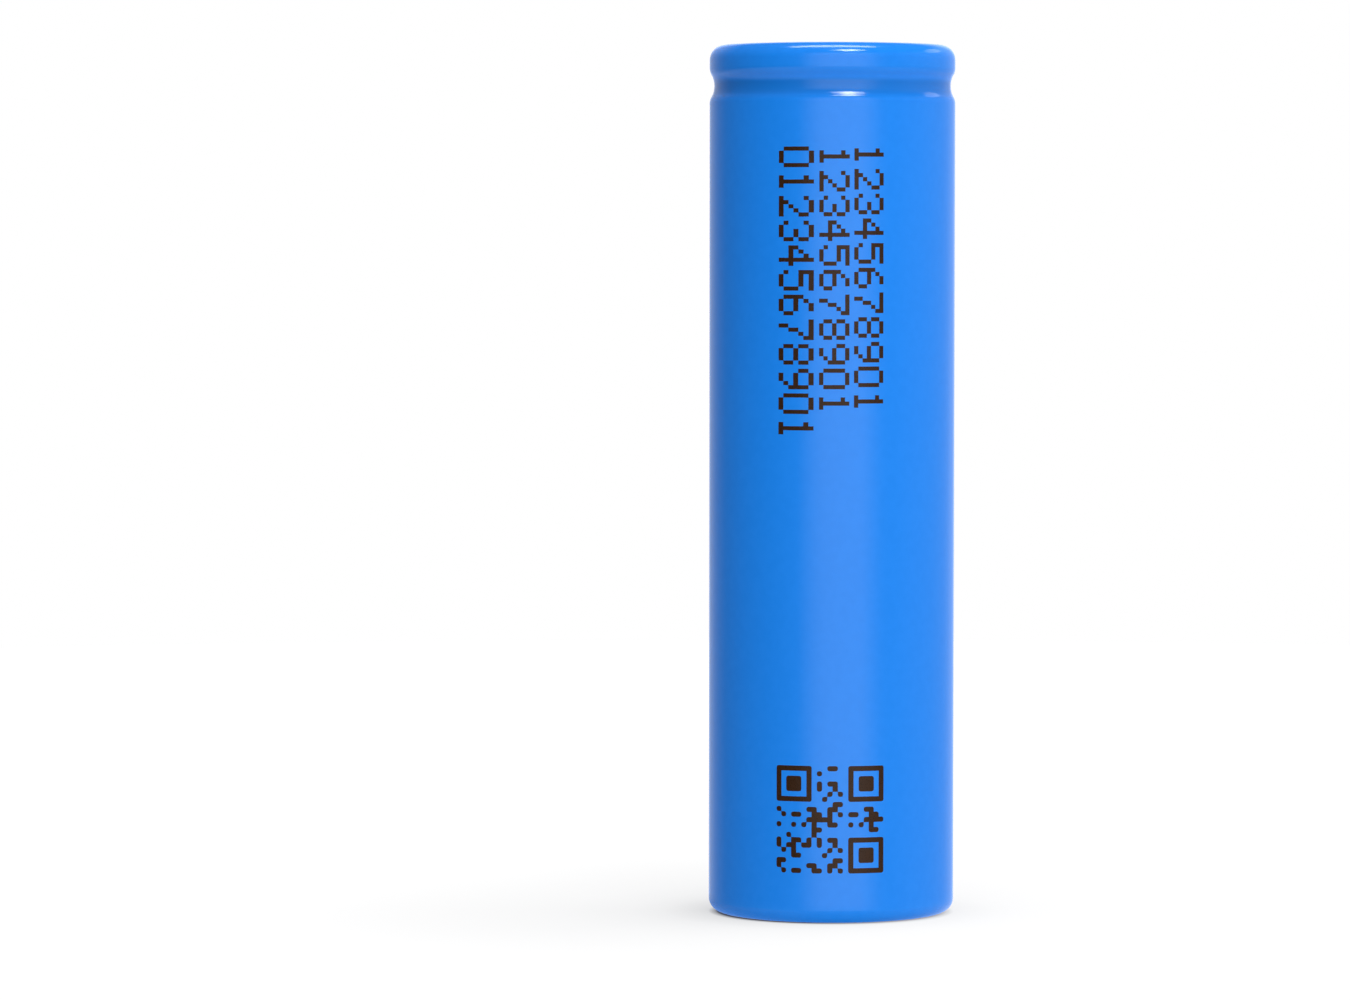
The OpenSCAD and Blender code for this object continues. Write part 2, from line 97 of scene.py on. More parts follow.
def turn_at(before: Corner, here: Corner, after: Corner) -> float:
    """Signed angle that an outline turns through at one corner.

    Args:
        before: The corner before it.
        here: The corner itself.
        after: The corner after it.

    Returns:
        The angle, positive to the left.
    """
    come = Vector((here.r - before.r, here.z - before.z))
    go = Vector((after.r - here.r, after.z - here.z))
    return math.atan2(come.x * go.y - come.y * go.x, come.dot(go))


def parallel(path: list[Corner], shift: float) -> list[Corner]:
    """Line that keeps one distance from a path, to its left.

    Args:
        path: Corners of the first line.
        shift: Distance to the left, or to the right where negative.

    Returns:
        Corners of the second line, with the rounding that keeps the sheet even.
    """
    moved = []
    last = len(path) - 1
    for i, here in enumerate(path):
        before = path[max(i - 1, 0)]
        after = path[min(i + 1, last)]
        come = Vector((here.r - before.r, here.z - before.z)) if i else None
        go = Vector((after.r - here.r, after.z - here.z)) if i < last else None
        come = (come or go).normalized()
        go = (go or come).normalized()
        side = Vector((-come.y, come.x)) + Vector((-go.y, go.x))
        step = side * (shift / (1 + come.dot(go)))
        hand = math.copysign(1, come.x * go.y - come.y * go.x)
        bend = max(here.bend - hand * shift, 0.0) if here.bend else 0.0
        moved.append(Corner(here.r + step.x, here.z + step.y, bend))
    return moved


def sheet(path: list[Corner], thickness: float) -> list[Corner]:
    """Closed outline of a bent sheet, from one of its faces."""
    return path + parallel(path, thickness)[::-1]


def revolve(name: str, outline: list[Corner], closed: bool = True) -> Piece:
    """Spins an outline about the cell's axis.

    Args:
        name: Name of the new piece.
        outline: Corners in order, in millimetres.
        closed: False where both ends lie on the axis.

    Returns:
        The new piece.
    """
    bm = bmesh.new()
    verts = [bm.verts.new((c.r * MM, 0, c.z * MM)) for c in outline]
    pairs = list(zip(verts, verts[1:]))
    if closed:
        pairs.append((verts[-1], verts[0]))
    for pair in pairs:
        bm.edges.new(pair)
    count = len(outline)
    for i, (corner, vert) in enumerate(zip(outline, verts)):
        if not corner.bend:
            continue
        turn = turn_at(outline[i - 1], corner, outline[(i + 1) % count])
        reach = corner.bend * math.tan(abs(turn) / 2)
        bmesh.ops.bevel(bm, geom=[vert], offset=reach * BEVEL_REACH * MM,
                        offset_type="OFFSET", segments=ARC_SEGMENTS, profile=0.5,
                        affect="VERTICES", material=-1, clamp_overlap=False)
    bmesh.ops.spin(bm, geom=bm.verts[:] + bm.edges[:], cent=(0, 0, 0), axis=(0, 0, 1),
                   dvec=(0, 0, 0), angle=math.tau, steps=SPIN_STEPS, use_merge=True,
                   use_normal_flip=False, use_duplicate=False)
    return as_piece(bm, name)


def as_piece(bm: bmesh.types.BMesh, name: str, smooth: bool = True) -> Piece:
    """Closes a bmesh, points its faces outwards and makes it an object at the origin.

    Args:
        bm: The bmesh, which is freed.
        name: Name of the new piece.
        smooth: False where every face stays flat.

    Returns:
        The new piece.
    """
    bmesh.ops.remove_doubles(bm, verts=bm.verts[:], dist=MERGE)
    bmesh.ops.recalc_face_normals(bm, faces=bm.faces[:])
    for face in bm.faces:
        face.smooth = smooth
    mesh = bpy.data.meshes.new(name)
    bm.to_mesh(mesh)
    bm.free()
    if smooth:
        mesh.set_sharp_from_angle(angle=CREASE)
    piece = bpy.data.objects.new(name, mesh)
    bpy.context.scene.collection.objects.link(piece)
    return piece


def cut_away(piece: Piece, tools: list[Piece]) -> None:
    """Cuts closed tools out of a piece and removes them.

    Args:
        piece: The piece that is cut.
        tools: Closed pieces, gone afterwards.
    """
    for tool in tools:
        step = piece.modifiers.new(tool.name, "BOOLEAN")
        step.object = tool
        step.operation = "DIFFERENCE"
        step.solver = "EXACT"
    shaped = piece.evaluated_get(bpy.context.evaluated_depsgraph_get())
    mesh = bpy.data.meshes.new_from_object(shaped)
    piece.modifiers.clear()
    old, piece.data = piece.data, mesh
    mesh.name = old.name
    bpy.data.meshes.remove(old)
    for tool in tools:
        bpy.data.meshes.remove(tool.data)
    mesh.set_sharp_from_angle(angle=CREASE)


# ---------------------------------------------------------------- finishes


class Pattern(Enum):
    """Surface patterns that the finishes share, each a node group."""

    PEEL = "fine_peel"
    RINGS = "turning_rings"
    FIBRE = "paper_fibre"
    ROLLED = "rolled_streaks"
    SPECKLE = "coated_speckle"
    PUCKER = "fold_pucker"


class PatternShop:
    """Makes each pattern's node group once and hands it out."""

    def __init__(self) -> None:
        """Starts with no groups made."""
        self.made: dict[Pattern, Tree] = {}

    def get(self, pattern: Pattern) -> Tree:
        """Hands out a pattern's node group, with a Scale input and a Value output.

        Args:
            pattern: Which pattern.

        Returns:
            The group, made on first use.
        """
        if pattern not in self.made:
            self.made[pattern] = self.build(pattern)
        return self.made[pattern]

    def build(self, pattern: Pattern) -> Tree:
        """Builds one pattern's node group.

        Args:
            pattern: Which pattern.

        Returns:
            The new group.
        """
        tree = bpy.data.node_groups.new(pattern.value, "ShaderNodeTree")
        scale = tree.interface.new_socket("Scale", in_out="INPUT", socket_type="NodeSocketFloat")
        scale.default_value = PATTERN_SCALE
        tree.interface.new_socket("Value", in_out="OUTPUT", socket_type="NodeSocketFloat")
        entry = tree.nodes.new("NodeGroupInput")
        leave = tree.nodes.new("NodeGroupOutput")
        place = tree.nodes.new("ShaderNodeTexCoord").outputs["Object"]
        draw = {
            Pattern.PEEL: self.peel,
            Pattern.RINGS: self.rings,
            Pattern.FIBRE: self.fibre,
            Pattern.ROLLED: self.rolled,
            Pattern.SPECKLE: self.speckle,
            Pattern.PUCKER: self.pucker,
        }[pattern]
        value = draw(tree, place, entry.outputs["Scale"])
        tree.links.new(value, leave.inputs["Value"])
        return tree

    @staticmethod
    def noise(tree: Tree, place: Socket, scale: Socket, detail: float, roughness: float,
              distortion: float = 0.0) -> Socket:
        """Noise at one place, spread over 0 to 1.

        Args:
            tree: Node tree that the noise is for.
            place: Where it is read.
            scale: Marks to the unit of place.
            detail: Number of finer layers.
            roughness: Strength of the finer layers.
            distortion: How far it is pulled about.

        Returns:
            The noise.
        """
        node = tree.nodes.new("ShaderNodeTexNoise")
        node.noise_type = "FBM"
        node.inputs["Detail"].default_value = detail
        node.inputs["Roughness"].default_value = roughness
        node.inputs["Distortion"].default_value = distortion
        tree.links.new(place, node.inputs["Vector"])
        tree.links.new(scale, node.inputs["Scale"])
        return node.outputs["Fac"]

    def peel(self, tree: Tree, place: Socket, scale: Socket) -> Socket:
        """Soft dimples of a shrunk or moulded plastic."""
        grain = self.noise(tree, place, scale, detail=2.0, roughness=0.5)
        return ramp(tree, grain, start=0.3, full=0.7)

    def rings(self, tree: Tree, place: Socket, scale: Socket) -> Socket:
        """Fine rings round the cell's axis, as a spun or drawn disc has.

        Args:
            tree: Node tree of the pattern's group.
            place: Object coordinates.
            scale: Marks to the metre.

        Returns:
            The pattern's mask.
        """
        joined = tree.nodes.new("ShaderNodeCombineXYZ")
        tree.links.new(outwards(tree, place, "LENGTH"), joined.inputs["X"])
        grain = self.noise(tree, joined.outputs["Vector"], scale, detail=5.0, roughness=0.7)
        return ramp(tree, grain, start=0.25, full=0.75)

    def fibre(self, tree: Tree, place: Socket, scale: Socket) -> Socket:
        """Short crossing fibres of pressed paper.

        Args:
            tree: Node tree of the pattern's group.
            place: Object coordinates.
            scale: Marks to the metre.

        Returns:
            The pattern's mask.
        """
        ways = [stretched(tree, place, by) for by in ((0.25, 1.0, 1.0), (1.0, 0.25, 1.0))]
        grains = [self.noise(tree, way, scale, detail=3.0, roughness=0.6, distortion=0.6)
                  for way in ways]
        return ramp(tree, maths(tree, "MAXIMUM", *grains), start=0.42, full=0.75)

    def rolled(self, tree: Tree, place: Socket, scale: Socket) -> Socket:
        """Long fine streaks that rolling leaves on sheet metal and foil."""
        along = stretched(tree, place, (0.03, 1.0, 1.0))
        return ramp(tree, self.noise(tree, along, scale, detail=4.0, roughness=0.65),
                    start=0.28, full=0.72)

    def speckle(self, tree: Tree, place: Socket, scale: Socket) -> Socket:
        """Grains of a coating or of a filled plastic.

        Args:
            tree: Node tree of the pattern's group.
            place: Object coordinates.
            scale: Grains to the metre.

        Returns:
            The pattern's mask.
        """
        node = tree.nodes.new("ShaderNodeTexVoronoi")
        node.feature = "F1"
        tree.links.new(place, node.inputs["Vector"])
        tree.links.new(scale, node.inputs["Scale"])
        return ramp(tree, node.outputs["Distance"], start=0.1, full=0.8)

    def pucker(self, tree: Tree, place: Socket, scale: Socket) -> Socket:
        """Ripples that run out from the axis, as where a tube of film shrinks over an edge."""
        way = outwards(tree, place, "NORMALIZE")
        return ramp(tree, self.noise(tree, way, scale, detail=1.5, roughness=0.5),
                    start=0.3, full=0.7)


PATTERNS = PatternShop()


def feed(tree: Tree, operand: Socket | float | Colour, place: Socket) -> None:
    """Links an operand to an input, or sets it there where it is plain.

    Args:
        tree: Node tree that the input is in.
        operand: What the input takes.
        place: The input.
    """
    if isinstance(operand, Socket):
        tree.links.new(operand, place)
    else:
        place.default_value = operand


def maths(tree: Tree, operation: str, *operands: Socket | float) -> Socket:
    """Result of one sum.

    Args:
        tree: Node tree that the sum is for.
        operation: What the node works out.
        operands: Sockets or numbers, in the order of the node's inputs.

    Returns:
        The result.
    """
    node = tree.nodes.new("ShaderNodeMath")
    node.operation = operation
    for place, operand in zip(node.inputs, operands):
        feed(tree, operand, place)
    return node.outputs["Value"]


def blended(tree: Tree, first: Socket | Colour, second: Socket | Colour, share: Socket,
            kind: str = "RGBA") -> Socket:
    """Value or colour between two, led by a mask.

    Args:
        tree: Node tree that the blend is for.
        first: What it is where the mask is 0.
        second: What it is where the mask is 1.
        share: The mask.
        kind: RGBA for colours, FLOAT for values.

    Returns:
        The blend.
    """
    node = tree.nodes.new("ShaderNodeMix")
    node.data_type = kind
    for name, operand in (("Factor", share), ("A", first), ("B", second)):
        feed(tree, operand, node.inputs[name])
    return node.outputs["Result"]


def ranged(tree: Tree, value: Socket, start: float, full: float, low: float = 0.0,
           high: float = 1.0, course: str = "LINEAR") -> Socket:
    """Value carried from one range to another, and held at its ends.

    Args:
        tree: Node tree that the value is for.
        value: What is carried.
        start: Where it gives low.
        full: Where it gives high.
        low: First end of the new range.
        high: Second end of the new range.
        course: How it goes from one end to the other.

    Returns:
        The carried value.
    """
    node = tree.nodes.new("ShaderNodeMapRange")
    node.interpolation_type = course
    for name, end in (("From Min", start), ("From Max", full), ("To Min", low),
                      ("To Max", high)):
        node.inputs[name].default_value = end
    tree.links.new(value, node.inputs["Value"])
    return node.outputs["Result"]


def ramp(tree: Tree, value: Socket, start: float, full: float) -> Socket:
    """Mask that rises smoothly from 0 at start to 1 at full."""
    return ranged(tree, value, start, full, course="SMOOTHSTEP")


def stepped(tree: Tree, value: Socket, stops: Stops) -> Socket:
    """Level that goes straight from stop to stop.

    Args:
        tree: Node tree that the level is for.
        value: What the stops are placed along.
        stops: Places with their levels, from low to high.

    Returns:
        The level.
    """
    start, full = stops[0][0], stops[-1][0]
    levels = tree.nodes.new("ShaderNodeValToRGB")
    marks = levels.color_ramp.elements
    while len(marks) < len(stops):
        marks.new(0.5)  # placed below
    for mark, (place, level) in zip(marks, stops):
        mark.position = (place - start) / (full - start)
        mark.color = (level, level, level, 1.0)
    tree.links.new(ranged(tree, value, start, full), levels.inputs["Fac"])
    return levels.outputs["Color"]


def stretched(tree: Tree, place: Socket, by: tuple[float, float, float]) -> Socket:
    """The same place, scaled by a different amount each way.

    Args:
        tree: Node tree that the place is for.
        place: Coordinates.
        by: Scale along X, Y and Z.

    Returns:
        The scaled coordinates.
    """
    node = tree.nodes.new("ShaderNodeMapping")
    node.inputs["Scale"].default_value = by
    tree.links.new(place, node.inputs["Vector"])
    return node.outputs["Vector"]


def outwards(tree: Tree, place: Socket, operation: str) -> Socket:
    """Distance or direction of a place from the cell's axis.

    Args:
        tree: Node tree that the result is for.
        place: Object coordinates.
        operation: LENGTH for the distance, NORMALIZE for the direction.

    Returns:
        The distance in metres, or the direction.
    """
    node = tree.nodes.new("ShaderNodeVectorMath")
    node.operation = operation
    tree.links.new(stretched(tree, place, (1.0, 1.0, 0.0)), node.inputs[0])
    return node.outputs["Value" if operation == "LENGTH" else "Vector"]


def from_axis(tree: Tree) -> Socket:
    """Distance from the cell's axis, in metres."""
    return outwards(tree, tree.nodes.new("ShaderNodeTexCoord").outputs["Object"], "LENGTH")


def axes(tree: Tree, place: str) -> bpy.types.bpy_prop_collection:
    """Splits a texture coordinate.

    Args:
        tree: Node tree that the parts are for.
        place: Which texture coordinate.

    Returns:
        Sockets named X, Y and Z.
    """
    parts = tree.nodes.new("ShaderNodeSeparateXYZ")
    tree.links.new(tree.nodes.new("ShaderNodeTexCoord").outputs[place], parts.inputs["Vector"])
    return parts.outputs


def up_axis(tree: Tree) -> Socket:
    """Height above the foot, in metres."""
    return axes(tree, "Object")["Z"]


def azimuth(tree: Tree, place: str) -> Socket:
    """Turn about the axis, in degrees, from the front to the right.

    Args:
        tree: Node tree that the turn is for.
        place: Texture coordinate that it is measured by.

    Returns:
        The turn.
    """
    parts = axes(tree, place)
    front = maths(tree, "MULTIPLY", parts["Y"], -1.0)
    return maths(tree, "DEGREES", maths(tree, "ARCTAN2", parts["X"], front))


@dataclass(frozen=True)
class Finish:
    """Finish of one material: two tints, a gloss range and a relief, all led by one pattern."""

    name: str
    tint: str
    second_tint: str
    pattern: Pattern
    scale: float
    roughness: float
    swing: float = 0.05
    relief: float = 0.002
    metallic: float = 0.0
    ior: float = 1.5

    def build(self) -> bpy.types.Material:
        """Makes the node material.

        Returns:
            The new material.
        """
        material = bpy.data.materials.new(self.name)
        material.use_nodes = True
        tree = material.node_tree
        shader = tree.nodes["Principled BSDF"]
        shader.inputs["Metallic"].default_value = self.metallic
        shader.inputs["IOR"].default_value = self.ior
        value = self.pattern_value(tree, self.pattern, self.scale)
        tree.links.new(self.colour(tree, value), shader.inputs["Base Color"])
        tree.links.new(self.gloss(tree, value), shader.inputs["Roughness"])
        bump = tree.nodes.new("ShaderNodeBump")
        bump.inputs["Distance"].default_value = self.relief * MM
        tree.links.new(self.height(tree, value), bump.inputs["Height"])
        tree.links.new(bump.outputs["Normal"], shader.inputs["Normal"])
        return material

    @staticmethod
    def pattern_value(tree: Tree, pattern: Pattern, scale: float) -> Socket:
        """Puts a pattern's group into a material.

        Args:
            tree: Node tree of the material.
            pattern: Which pattern.
            scale: Marks to the metre.

        Returns:
            The pattern's mask.
        """
        node = tree.nodes.new("ShaderNodeGroup")
        node.node_tree = PATTERNS.get(pattern)
        node.inputs["Scale"].default_value = scale
        return node.outputs["Value"]

    def colour(self, tree: Tree, value: Socket) -> Socket:
        """Colour between the two tints."""
        return blended(tree, shade(self.tint), shade(self.second_tint), value)

    def gloss(self, tree: Tree, value: Socket) -> Socket:
        """Roughness that swings a little round its middle."""
        return ranged(tree, value, 0.0, 1.0, low=self.roughness - self.swing / 2,
                      high=self.roughness + self.swing / 2)

    def height(self, tree: Tree, value: Socket) -> Socket:
        """Height that the relief takes, in shares of it."""
        return value


@dataclass(frozen=True)
class FilmFinish(Finish):
    """Shrunk film: a fine peel over the wall, and soft puckers where it is folded over an end."""

    pucker_scale: float = 9.0
    pucker_share: float = 1.6
    wall_r: float = 8.9
    fold_r: float = 7.4
    # Painted shade in the groove: its tint, and the heights over which it comes in at the foot
    # and goes at the top.
    painted_groove_shade: str = "1777d6"
    groove_foot: tuple[float, float] = (60.6, 61.4)
    groove_top: tuple[float, float] = (62.45, 62.0)
    rim_gain: float = 2.6

    def colour(self, tree: Tree, value: Socket) -> Socket:
        """Film colour, with a painted shade in the groove, and raised towards its rims where its
        own gloss would dim it.

        Args:
            tree: Node tree of the material.
            value: The finish's pattern.

        Returns:
            The colour.
        """
        # The painted groove shade is full between the groove's foot and its top.
        ends = [ramp(tree, up_axis(tree), start * MM, full * MM)
                for start, full in (self.groove_foot, self.groove_top)]
        drawn = blended(tree, super().colour(tree, value), shade(self.painted_groove_shade),
                        maths(tree, "MULTIPLY", *ends))
        mirrored = tree.nodes.new("ShaderNodeFresnel")
        mirrored.inputs["IOR"].default_value = self.ior
        head_on = ((self.ior - 1) / (self.ior + 1)) ** 2
        let_in = maths(tree, "SUBTRACT", 1.0, mirrored.outputs["Fac"])
        gain = maths(tree, "MINIMUM", maths(tree, "DIVIDE", 1 - head_on, let_in), self.rim_gain)
        raised = tree.nodes.new("ShaderNodeVectorMath")
        raised.operation = "SCALE"
        tree.links.new(drawn, raised.inputs[0])
        tree.links.new(gain, raised.inputs["Scale"])
        return raised.outputs["Vector"]

    def height(self, tree: Tree, value: Socket) -> Socket:
        """Peel height, with the puckers added towards the fold's edge.

        Args:
            tree: Node tree of the material.
            value: The finish's pattern.

        Returns:
            The height, in shares of the relief.
        """
        fold = ranged(tree, from_axis(tree), self.wall_r * MM, self.fold_r * MM,
                      high=self.pucker_share)
        ripple = self.pattern_value(tree, Pattern.PUCKER, self.pucker_scale)
        return maths(tree, "MULTIPLY_ADD", ripple, fold, value)


@dataclass(frozen=True)
class ZoneFinish(Finish):
    """Finish with one more tint in a zone, by distance from the axis or by height."""

    zone_tint: str = "000000"
    zone_start: float = 0.0
    zone_full: float = 1.0
    by_height: bool = False

    def colour(self, tree: Tree, value: Socket) -> Socket:
        """Colour of the pattern, led into the zone's tint.

        Args:
            tree: Node tree of the material.
            value: The finish's pattern.

        Returns:
            The colour.
        """
        measure = up_axis(tree) if self.by_height else from_axis(tree)
        share = ramp(tree, measure, self.zone_start * MM, self.zone_full * MM)
        return blended(tree, super().colour(tree, value), shade(self.zone_tint), share)


FILM = FilmFinish("blue_shrink_film", "1b87f3", "1d89f5", Pattern.PEEL, 1500, 0.11, 0.02, 0.00025)
INK = Finish("brown_print_ink", "2d1806", "371f0b", Pattern.SPECKLE, 9000, 0.3, 0.06, 0.0004,
             ior=1.36)
NODE_FINISHES = {
    # The washer's near-black zone, from 6.86 mm out, is a painted shadow under the film's cut
    # edge.
    "top_washer": ZoneFinish(
        "navy_fibre_paper", "1f2338", "262b43", Pattern.FIBRE, 3200, 0.62, 0.16, 0.003, ior=1.2,
        zone_tint="030305", zone_start=6.86, zone_full=6.98),
    "positive_cap": ZoneFinish(
        "plated_cap_steel", "a6a7a6", "adaead", Pattern.ROLLED, 9000, 0.34, 0.05, 0.00015,
        metallic=1.0, zone_tint="67716d", zone_start=64.35, zone_full=64.12, by_height=True),
    "can": Finish(
        "plated_can_steel", "b4b7b9", "cdcfd0", Pattern.RINGS, 5200, 0.3, 0.12, 0.001,
        metallic=1.0),
    "ptc_ring": Finish(
        "conductive_polymer", "393c3f", "484b4e", Pattern.SPECKLE, 7000, 0.7, 0.1, 0.002),
    "vent_disc": Finish(
        "soft_vent_aluminium", "bfc1c3", "d2d4d5", Pattern.ROLLED, 7000, 0.34, 0.1, 0.001,
        metallic=1.0),
    "gasket": Finish(
        "milky_gasket_plastic", "e3e0d6", "efece3", Pattern.PEEL, 2400, 0.42, 0.06, 0.002),
    "cid_spacer": Finish(
        "cream_spacer_plastic", "d5d5ca", "e2e2d9", Pattern.PEEL, 3000, 0.45, 0.06, 0.002),
    "cid_plate": Finish(
        "pierced_plate_aluminium", "b9bbbd", "cfd1d2", Pattern.ROLLED, 8000, 0.36, 0.1, 0.001,
        metallic=1.0),
    "positive_tab": Finish(
        "tab_aluminium", "ccced0", "dcdddf", Pattern.ROLLED, 8000, 0.3, 0.1, 0.0008,
        metallic=1.0),
    "positive_tab_tape": Finish(
        "amber_tape", "cf9939", "e0ac4b", Pattern.PEEL, 4000, 0.26, 0.06, 0.001),
    "top_insulator": Finish(
        "pressed_insulator_sheet", "dcdad2", "eae8e0", Pattern.FIBRE, 2600, 0.55, 0.12, 0.003),
    "cathode": Finish(
        "black_phosphate_coating", "232426", "323335", Pattern.SPECKLE, 12000, 0.8, 0.12, 0.003),
    "anode": Finish(
        "graphite_on_copper", "7c4f33", "966446", Pattern.SPECKLE, 10000, 0.7, 0.14, 0.003),
    "separator_inner": Finish(
        "inner_porous_film", "efefeb", "f8f8f5", Pattern.ROLLED, 5000, 0.5, 0.08, 0.001),
    "separator_outer": Finish(
        "outer_porous_film", "ededea", "f6f6f3", Pattern.ROLLED, 4600, 0.5, 0.08, 0.001),
    "roll_tape": Finish(
        "green_roll_tape", "479463", "57a874", Pattern.PEEL, 3600, 0.28, 0.06, 0.001),
    "centre_pin": Finish(
        "rolled_pin_steel", "a2a5a7", "babcbe", Pattern.ROLLED, 6500, 0.32, 0.1, 0.001,
        metallic=1.0),
    "negative_tab": Finish(
        "tab_nickel", "aea792", "c0b9a6", Pattern.ROLLED, 7500, 0.32, 0.1, 0.0008,
        metallic=1.0),
    "negative_tab_tape": Finish(
        "lower_amber_tape", "cb9536", "dca848", Pattern.PEEL, 3800, 0.26, 0.06, 0.001),
    "bottom_insulator": Finish(
        "lower_insulator_sheet", "dad8d0", "e8e6de", Pattern.FIBRE, 2800, 0.55, 0.12, 0.003),
}


def dress(piece: Piece, material: bpy.types.Material) -> None:
    """Gives a new piece its one material."""
    piece.data.materials.clear()
    piece.data.materials.append(material)


def hand_over(piece: Piece, slot: str, *nodes: str) -> None:
    """Rides a new piece on the cell, hides the nodes that it stands for and logs its slot.

    Args:
        piece: The piece.
        slot: Material slot that it belongs to.
        nodes: CAD nodes that it replaces, if any.
    """
    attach(piece, "root")
    if nodes:
        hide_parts(*nodes)
    log.info("%s: %d faces, %s", piece.name, len(piece.data.polygons), slot)


# ---------------------------------------------------------------- sub-assemblies


@dataclass
class ShrinkFilm:
    """Blue film shrunk over the can: straight wall, drawn-in groove and a fold over each end."""

    radius: float = 9.19
    thickness: float = 0.09
    top: float = 64.94
    opening: float = 7.1
    top_bend: float = 1.11
    foot_bend: float = 1.01
    groove_top: float = 63.22
    groove_foot: float = 60.61
    groove_depth: float = 0.37
    upper_edge: float = 1.0
    lower_edge: float = 0.88
    cut_edge: float = 0.02

    def groove(self) -> list[Corner]:
        """Works out the groove from its depth, its height and how its edges are rounded.

        Returns:
            Upper edge, root and lower edge, whose roundings meet.
        """
        height = self.groove_top - self.groove_foot
        upper = height / 2 + self.groove_depth * (self.upper_edge - self.lower_edge) / height
        root = (upper ** 2 + self.groove_depth ** 2) / (2 * self.groove_depth) - self.upper_edge
        upper_slope = math.asin(upper / (root + self.upper_edge))
        lower_slope = math.asin((height - upper) / (root + self.lower_edge))
        upper_z = self.groove_top - self.upper_edge * math.tan(upper_slope / 2)
        lower_z = self.groove_foot + self.lower_edge * math.tan(lower_slope / 2)
        fall, rise = math.tan(upper_slope), math.tan(lower_slope)
        root_z = (upper_z * fall + lower_z * rise) / (fall + rise)
        return [
            Corner(self.radius, upper_z, self.upper_edge),
            Corner(self.radius - (upper_z - root_z) * fall, root_z, root),
            Corner(self.radius, lower_z, self.lower_edge),
        ]

    def build(self) -> Piece:
        """Builds the film as one closed skin and dresses it.

        Returns:
            The film.
        """
        path = [Corner(self.opening, self.top, self.cut_edge),
                Corner(self.radius, self.top, self.top_bend),
                *self.groove(),
                Corner(self.radius, 0.0, self.foot_bend),
                Corner(self.opening, 0.0, self.cut_edge)]
        piece = revolve("film", sheet(path, -self.thickness))
        dress(piece, FILM.build())
        hand_over(piece, "film", "sleeve")
        return piece


DIGIT_DOTS = {
    "0": ("01110", "10001", "10001", "10001", "10001", "10001", "01110"),
    "1": ("00100", "01100", "00100", "00100", "00100", "00100", "01110"),
    "2": ("01110", "10001", "00001", "00010", "00100", "01000", "11111"),
    "3": ("01110", "10001", "00001", "00110", "00001", "10001", "01110"),
    "4": ("00010", "00110", "01010", "10010", "11111", "00010", "00010"),
    "5": ("11111", "10000", "11110", "00001", "00001", "10001", "01110"),
    "6": ("00110", "01000", "10000", "11110", "10001", "10001", "01110"),
    "7": ("11111", "00001", "00010", "00100", "00100", "01000", "01000"),
    "8": ("01110", "10001", "10001", "01110", "10001", "10001", "01110"),
    "9": ("01110", "10001", "10001", "01111", "00001", "00010", "01100"),
}
GLYPH_COLUMNS = 5
GLYPH_ROWS = 7
GLYPH_ADVANCE = 6
DIGIT_STEP = 0.302  # from dot to dot down the cell


@dataclass(frozen=True)
class DotField:
    """Field of printed dots, laid round the film's wall and read from its top down."""

    name: str
    columns: int
    rows: int
    top: float
    centre: float
    dot_along: float
    dot_across: float
    dot_bend: float = 0.0

    def lit(self, column: int, row: int) -> bool:
        """Whether the dot at a column down the cell and a row across it is printed."""
        raise NotImplementedError

    def build(self, radius: float, sunk: float) -> Piece:
        """Builds the dots as thin plates that follow the wall.

        Args:
            radius: Radius of the plates' outer face.
            sunk: Thickness of the plates.

        Returns:
            The new piece.
        """
        bm = bmesh.new()
        bmesh.ops.create_grid(bm, x_segments=self.columns, y_segments=self.rows,
                              size=GRID_HALF)
        blank = []
        for face in bm.faces:
            middle = face.calc_center_median()
            column = int((middle.x + GRID_HALF) * self.columns)
            row = int((middle.y + GRID_HALF) * self.rows)
            if not self.lit(column, row):
                blank.append(face)
        bmesh.ops.delete(bm, geom=blank, context="FACES")
        if self.dot_bend:
            tips = [v for v in bm.verts if len(v.link_faces) == 1]
            bmesh.ops.bevel(bm, geom=tips, offset=self.dot_bend / self.columns,
                            offset_type="OFFSET", segments=DOT_SEGMENTS, profile=0.5,
                            affect="VERTICES", material=-1)
        for vert in bm.verts:
            along = (vert.co.x + GRID_HALF) * self.columns * self.dot_along
            across = vert.co.y * self.rows * self.dot_across
            angle = (self.centre + across) / radius
            vert.co = Vector((radius * math.sin(angle), -radius * math.cos(angle),
                              self.top - along)) * MM
        inner = bmesh.ops.extrude_face_region(bm, geom=bm.faces[:], use_keep_orig=True)["geom"]
        share = 1 - sunk / radius
        bmesh.ops.scale(bm, vec=(share, share, 1),
                        verts=[g for g in inner if isinstance(g, bmesh.types.BMVert)])
        return as_piece(bm, self.name, smooth=False)


@dataclass(frozen=True)
class DigitRow(DotField):
    """Row of plain counting digits."""

    digits: str = ""

    def lit(self, column: int, row: int) -> bool:
        """Whether a digit has a dot here; a digit's top points round the film to the right.

        Args:
            column: Dots down the cell.
            row: Dots across the row, from the left.

        Returns:
            True where it has one.
        """
        digit, place = divmod(column, GLYPH_ADVANCE)
        if place >= GLYPH_COLUMNS:
            return False
        return DIGIT_DOTS[self.digits[digit]][GLYPH_ROWS - 1 - row][place] == "1"


